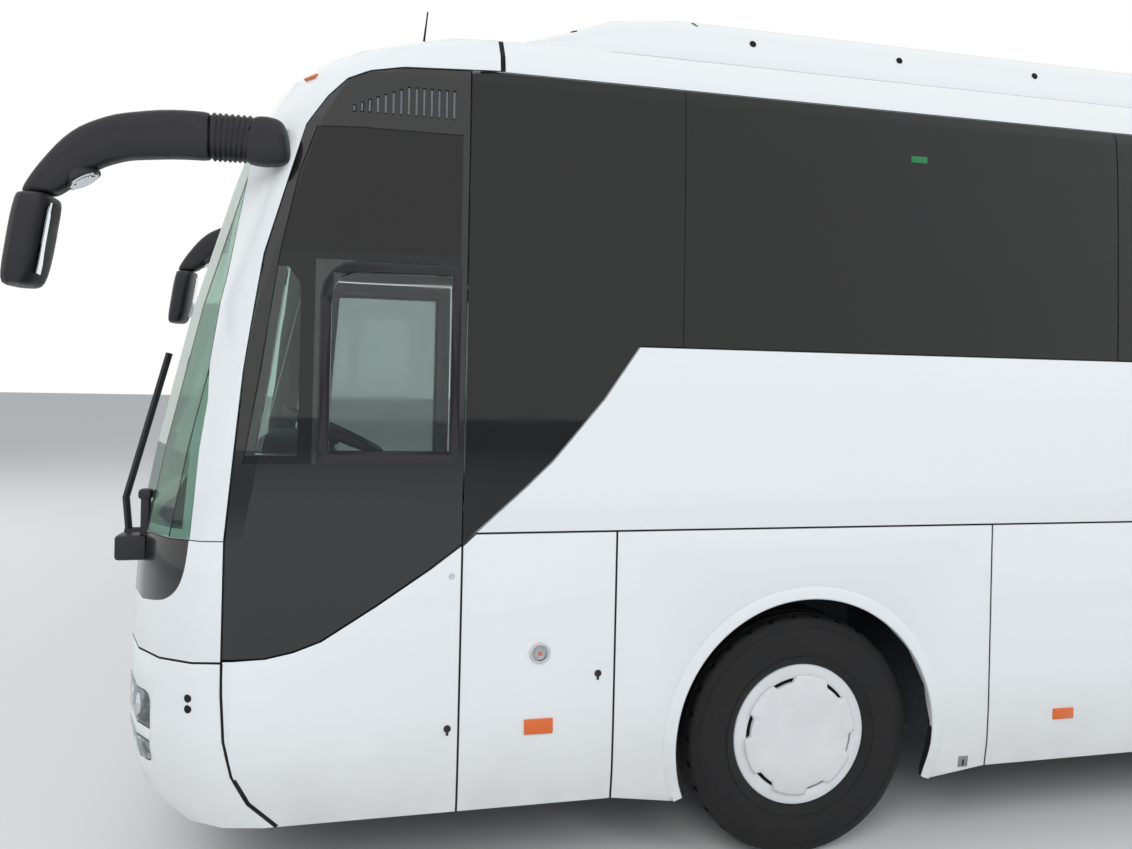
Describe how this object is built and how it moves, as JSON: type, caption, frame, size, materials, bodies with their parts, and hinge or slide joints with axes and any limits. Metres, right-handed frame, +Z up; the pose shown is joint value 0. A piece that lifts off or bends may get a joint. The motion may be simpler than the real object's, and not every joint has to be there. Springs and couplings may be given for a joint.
{
  "type": "two-axle touring coach",
  "caption": "High-floor two-axle coach with turning wheels, coupled steering, swing-out doors and opening luggage, service and engine flaps.",
  "frame": {"origin": "on the road, under the middle of the whole coach with its mirrors", "axes": "+X to the front, +Y to the coach's left, +Z up"},
  "size_m": [12.2924, 2.6384, 3.8103],
  "materials": {
    "white_paint": "gloss",
    "gloss_black": "gloss",
    "dark_glass": "gloss",
    "screen_glass": "gloss",
    "lamp": "gloss",
    "black_plastic": "matt",
    "tyre": "matt",
    "rim_paint": "satin",
    "chassis_iron": "matt",
    "steel": "satin",
    "floor": "matt",
    "seat_fabric": "matt"
  },
  "bodies": {
    "coach_body": {"arch_panel_left": "white_paint", "arch_panel_right": "white_paint", "cab_deck": "floor", "dashboard": "black_plastic", "driver_glass": "dark_glass", "driver_panel": "gloss_black", "driver_sash": "gloss_black", "driver_seat": "seat_fabric", "engine_block": "chassis_iron", "floor_deck": "floor", "front_axle": "chassis_iron", "front_bumper": "white_paint", "front_hoop": "white_paint", "front_mask": "white_paint", "headlamp_left": "lamp", "headlamp_right": "lamp", "mirror_left": "black_plastic", "mirror_right": "black_plastic", "rear_axle": "chassis_iron", "rear_glass": "dark_glass", "rear_quarter_left": "white_paint", "rear_quarter_right": "white_paint", "rear_wall": "white_paint", "roof": "white_paint", "roof_pod": "white_paint", "seats_left": "seat_fabric", "seats_right": "seat_fabric", "side_glass_left": "dark_glass", "side_glass_right": "dark_glass", "side_wall_left": "white_paint", "side_wall_right": "white_paint", "underbody": "chassis_iron", "windscreen": "screen_glass", "wiper_left": "black_plastic", "wiper_right": "black_plastic"},
    "knuckle_left": {"knuckle_left": "chassis_iron"},
    "knuckle_right": {"knuckle_right": "chassis_iron"},
    "front_wheel_left": {"rim_front_left": "rim_paint", "tyre_front_left": "tyre"},
    "rear_wheel_left": {"rim_rear_left": "rim_paint", "tyre_rear_left_inner": "tyre", "tyre_rear_left_outer": "tyre"},
    "front_wheel_right": {"rim_front_right": "rim_paint", "tyre_front_right": "tyre"},
    "rear_wheel_right": {"rim_rear_right": "rim_paint", "tyre_rear_right_inner": "tyre", "tyre_rear_right_outer": "tyre"},
    "steering_wheel": {"steering_wheel": "black_plastic"},
    "front_door": {"front_door": "white_paint"},
    "front_door_arm": {"front_door_arm": "steel"},
    "mid_door": {"mid_door": "white_paint"},
    "mid_door_arm": {"mid_door_arm": "steel"},
    "service_flap_front": {"service_flap_front": "white_paint"},
    "service_flap_mid": {"service_flap_mid": "white_paint"},
    "luggage_flap_left_front": {"luggage_flap_left_front": "white_paint"},
    "luggage_flap_left_rear": {"luggage_flap_left_rear": "white_paint"},
    "luggage_flap_right_front": {"luggage_flap_right_front": "white_paint"},
    "luggage_flap_right_rear": {"luggage_flap_right_rear": "white_paint"},
    "engine_lid": {"engine_lid": "white_paint"}
  },
  "joints": [
    {"name": "steer_left", "type": "hinge", "parent": "coach_body", "child": "knuckle_left", "pos_m": [3.02, 0.96, 0.518], "axis": [0, 0, 1], "range_deg": [-45, 45]},
    {"name": "steer_right", "type": "hinge", "parent": "coach_body", "child": "knuckle_right", "pos_m": [3.02, -0.96, 0.518], "axis": [0, 0, 1], "range_deg": [-45, 45]},
    {"name": "front_left_spin", "type": "hinge", "parent": "knuckle_left", "child": "front_wheel_left", "pos_m": [3.02, 1.078, 0.518], "axis": [0, 1, 0], "continuous": true},
    {"name": "front_right_spin", "type": "hinge", "parent": "knuckle_right", "child": "front_wheel_right", "pos_m": [3.02, -1.078, 0.518], "axis": [0, 1, 0], "continuous": true},
    {"name": "rear_left_spin", "type": "hinge", "parent": "coach_body", "child": "rear_wheel_left", "pos_m": [-3.04, 1.078, 0.518], "axis": [0, 1, 0], "continuous": true},
    {"name": "rear_right_spin", "type": "hinge", "parent": "coach_body", "child": "rear_wheel_right", "pos_m": [-3.04, -1.078, 0.518], "axis": [0, 1, 0], "continuous": true},
    {"name": "steering_wheel_turn", "type": "hinge", "parent": "coach_body", "child": "steering_wheel", "pos_m": [5.03, 0.62, 1.78], "axis": [-0.4067, 0, 0.9135], "range_deg": [-810, 810]},
    {"name": "front_door_arm_swing", "type": "hinge", "parent": "coach_body", "child": "front_door_arm", "pos_m": [5.262, -1.13, 0.9], "axis": [0, 0, 1], "range_deg": [0, 144]},
    {"name": "front_door_turn", "type": "hinge", "parent": "front_door_arm", "child": "front_door", "pos_m": [4.842, -1.175, 0.9], "axis": [0, 0, 1], "range_deg": [-144, 0]},
    {"name": "mid_door_arm_swing", "type": "hinge", "parent": "coach_body", "child": "mid_door_arm", "pos_m": [-2.09, -1.13, 0.9], "axis": [0, 0, 1], "range_deg": [-144, 0]},
    {"name": "mid_door_turn", "type": "hinge", "parent": "mid_door_arm", "child": "mid_door", "pos_m": [-1.67, -1.175, 0.9], "axis": [0, 0, 1], "range_deg": [0, 144]},
    {"name": "service_flap_front_hinge", "type": "hinge", "parent": "coach_body", "child": "service_flap_front", "pos_m": [5.376, 1.275, 0.7], "axis": [0, 0, -1], "range_deg": [0, 90]},
    {"name": "service_flap_mid_hinge", "type": "hinge", "parent": "coach_body", "child": "service_flap_mid", "pos_m": [4.505, 1.275, 0.9], "axis": [0, 0, -1], "range_deg": [0, 90]},
    {"name": "luggage_flap_left_front_hinge", "type": "hinge", "parent": "coach_body", "child": "luggage_flap_left_front", "pos_m": [1.07, 1.275, 1.43], "axis": [1, 0, 0], "range_deg": [0, 95]},
    {"name": "luggage_flap_left_rear_hinge", "type": "hinge", "parent": "coach_body", "child": "luggage_flap_left_rear", "pos_m": [-1.07, 1.275, 1.43], "axis": [1, 0, 0], "range_deg": [0, 95]},
    {"name": "luggage_flap_right_front_hinge", "type": "hinge", "parent": "coach_body", "child": "luggage_flap_right_front", "pos_m": [1.07, -1.275, 1.43], "axis": [-1, 0, 0], "range_deg": [0, 95]},
    {"name": "luggage_flap_right_rear_hinge", "type": "hinge", "parent": "coach_body", "child": "luggage_flap_right_rear", "pos_m": [-1.07, -1.275, 1.43], "axis": [-1, 0, 0], "range_deg": [0, 95]},
    {"name": "engine_lid_hinge", "type": "hinge", "parent": "coach_body", "child": "engine_lid", "pos_m": [-6.16, 0, 1.48], "axis": [0, 1, 0], "range_deg": [0, 80]}
  ],
  "couplings": [
    {"joint": "steer_right", "follows": "steer_left", "ratio": 1},
    {"joint": "steering_wheel_turn", "follows": "steer_left", "ratio": 18},
    {"joint": "front_door_turn", "follows": "front_door_arm_swing", "ratio": -1},
    {"joint": "mid_door_turn", "follows": "mid_door_arm_swing", "ratio": -1}
  ]
}
